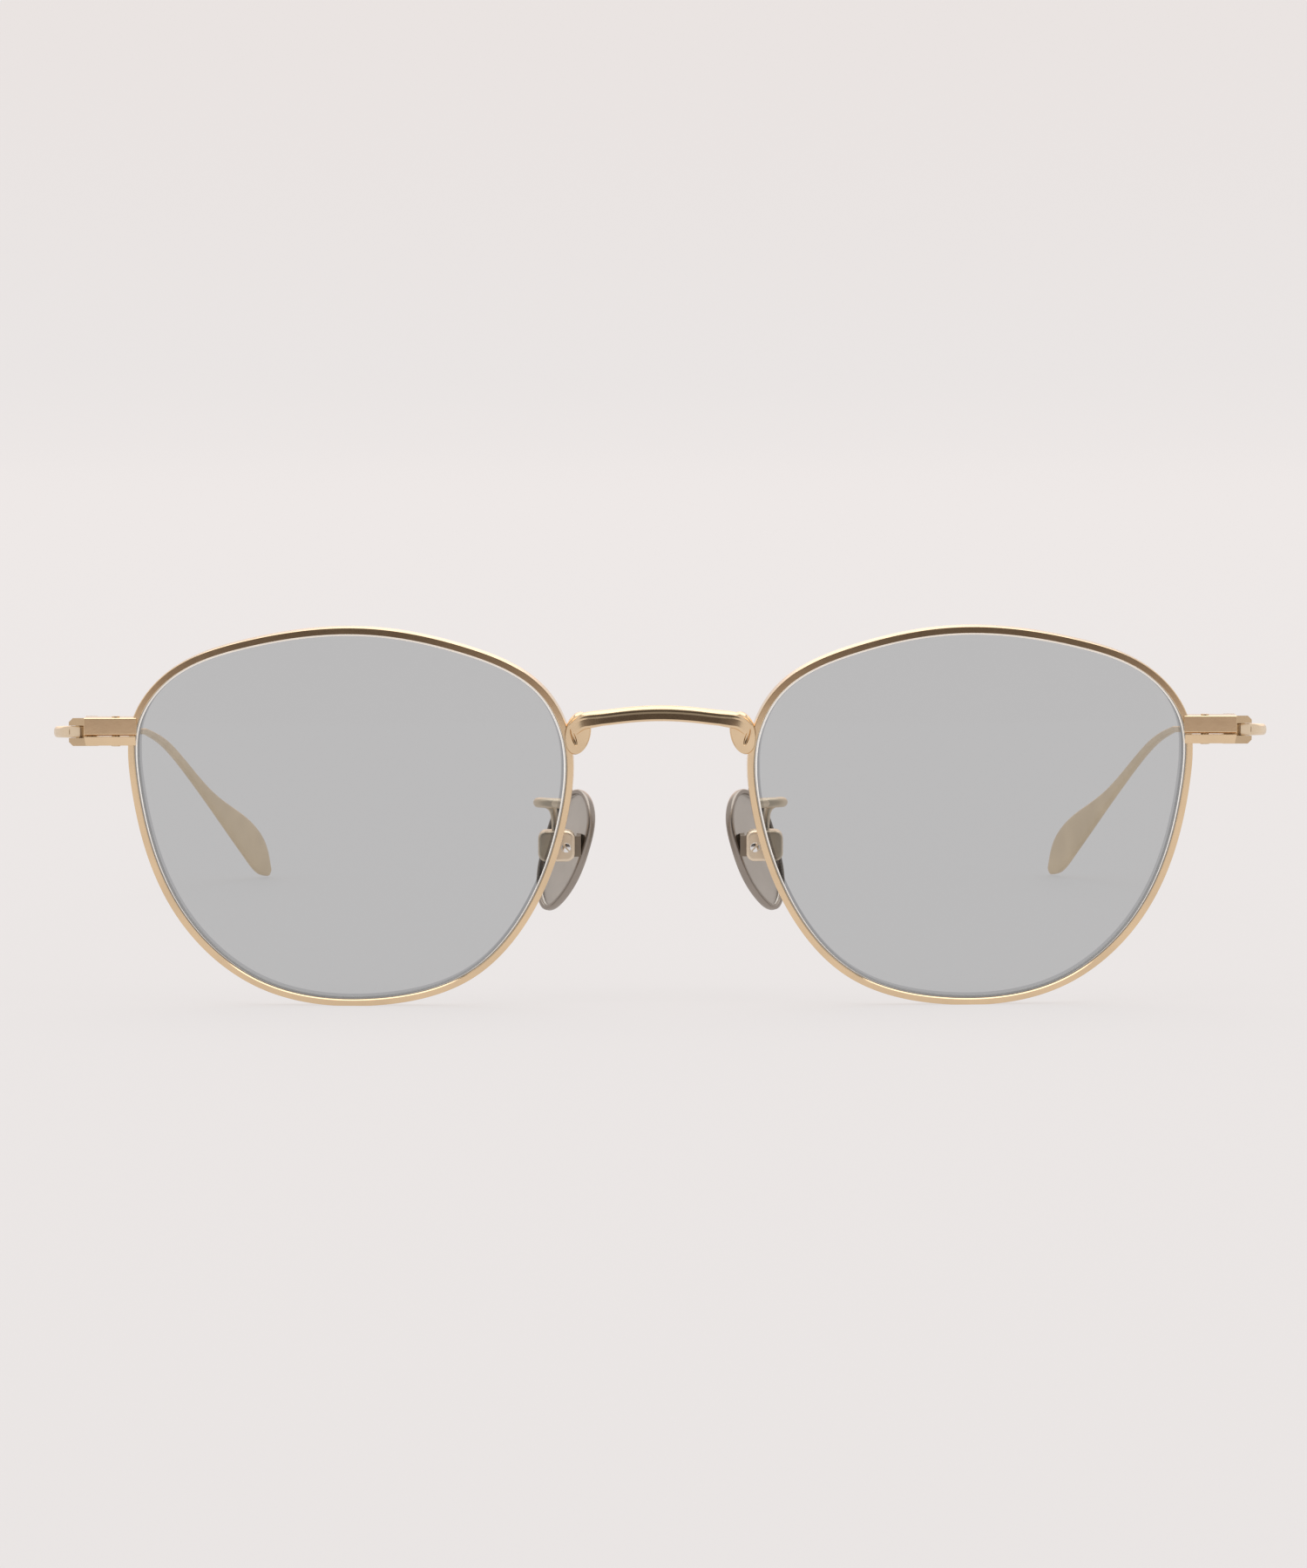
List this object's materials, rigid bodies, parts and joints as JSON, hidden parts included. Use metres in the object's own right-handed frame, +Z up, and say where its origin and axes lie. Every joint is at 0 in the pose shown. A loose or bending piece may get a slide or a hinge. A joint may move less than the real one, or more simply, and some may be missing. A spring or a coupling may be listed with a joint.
{
  "type": "eyeglasses",
  "caption": "Thin gold-toned metal full-rim eyeglasses with panto lenses, an arched bridge, adjustable metal nose pads and temples that fold on screw hinges.",
  "frame": {"origin": "on the table surface, under the centre of the open glasses' box", "axes": "+Z up; the lenses face -Y and the temples run back along +Y; the wearer's right side is -X"},
  "size_m": [0.138, 0.1483, 0.043],
  "materials": {
    "gold_frame": "polished champagne gold plating on thin metal",
    "gold_temple": "satin champagne gold plating on thin metal",
    "pad_metal": "satin grey-beige titanium",
    "screw_gold": "polished gold-coloured screw",
    "screw_silver": "polished slotted screw",
    "tinted_lens": "flat neutral grey tint, clear and polished"
  },
  "bodies": {
    "front": {"bridge": "gold_frame", "rim_right": "gold_frame", "rim_left": "gold_frame", "lens_right": "tinted_lens", "lens_left": "tinted_lens", "endpiece_right": "gold_frame", "endpiece_left": "gold_frame", "closing_block_right": "gold_frame", "closing_block_left": "gold_frame", "rim_screw_right": "screw_gold", "rim_screw_left": "screw_gold", "hinge_fork_right": "gold_frame", "hinge_fork_left": "gold_frame", "hinge_screw_right": "screw_gold", "hinge_screw_left": "screw_gold", "pad_box_right": "pad_metal", "pad_box_left": "pad_metal", "pad_arm_right": "pad_metal", "pad_arm_left": "pad_metal", "pad_screw_right": "screw_silver", "pad_screw_left": "screw_silver"},
    "temple_right": {"temple_right": "gold_temple"},
    "temple_left": {"temple_left": "gold_temple"},
    "pad_right": {"nose_pad_right": "pad_metal"},
    "pad_left": {"nose_pad_left": "pad_metal"}
  },
  "joints": [
    {"name": "temple_right_fold", "type": "hinge", "parent": "front", "child": "temple_right", "pos_m": [-0.0656, -0.063, 0.0305], "axis": [0, -0.0802, -0.9968], "range_deg": [0, 82]},
    {"name": "temple_left_fold", "type": "hinge", "parent": "front", "child": "temple_left", "pos_m": [0.0656, -0.063, 0.0305], "axis": [0, 0.0802, 0.9968], "range_deg": [0, 86]},
    {"name": "pad_right_rock", "type": "hinge", "parent": "front", "child": "pad_right", "pos_m": [-0.01064, -0.0657, 0.0176], "axis": [0, 1, 0], "range_deg": [-8, 8]},
    {"name": "pad_left_rock", "type": "hinge", "parent": "front", "child": "pad_left", "pos_m": [0.01064, -0.0657, 0.0176], "axis": [0, 1, 0], "range_deg": [-8, 8]}
  ]
}
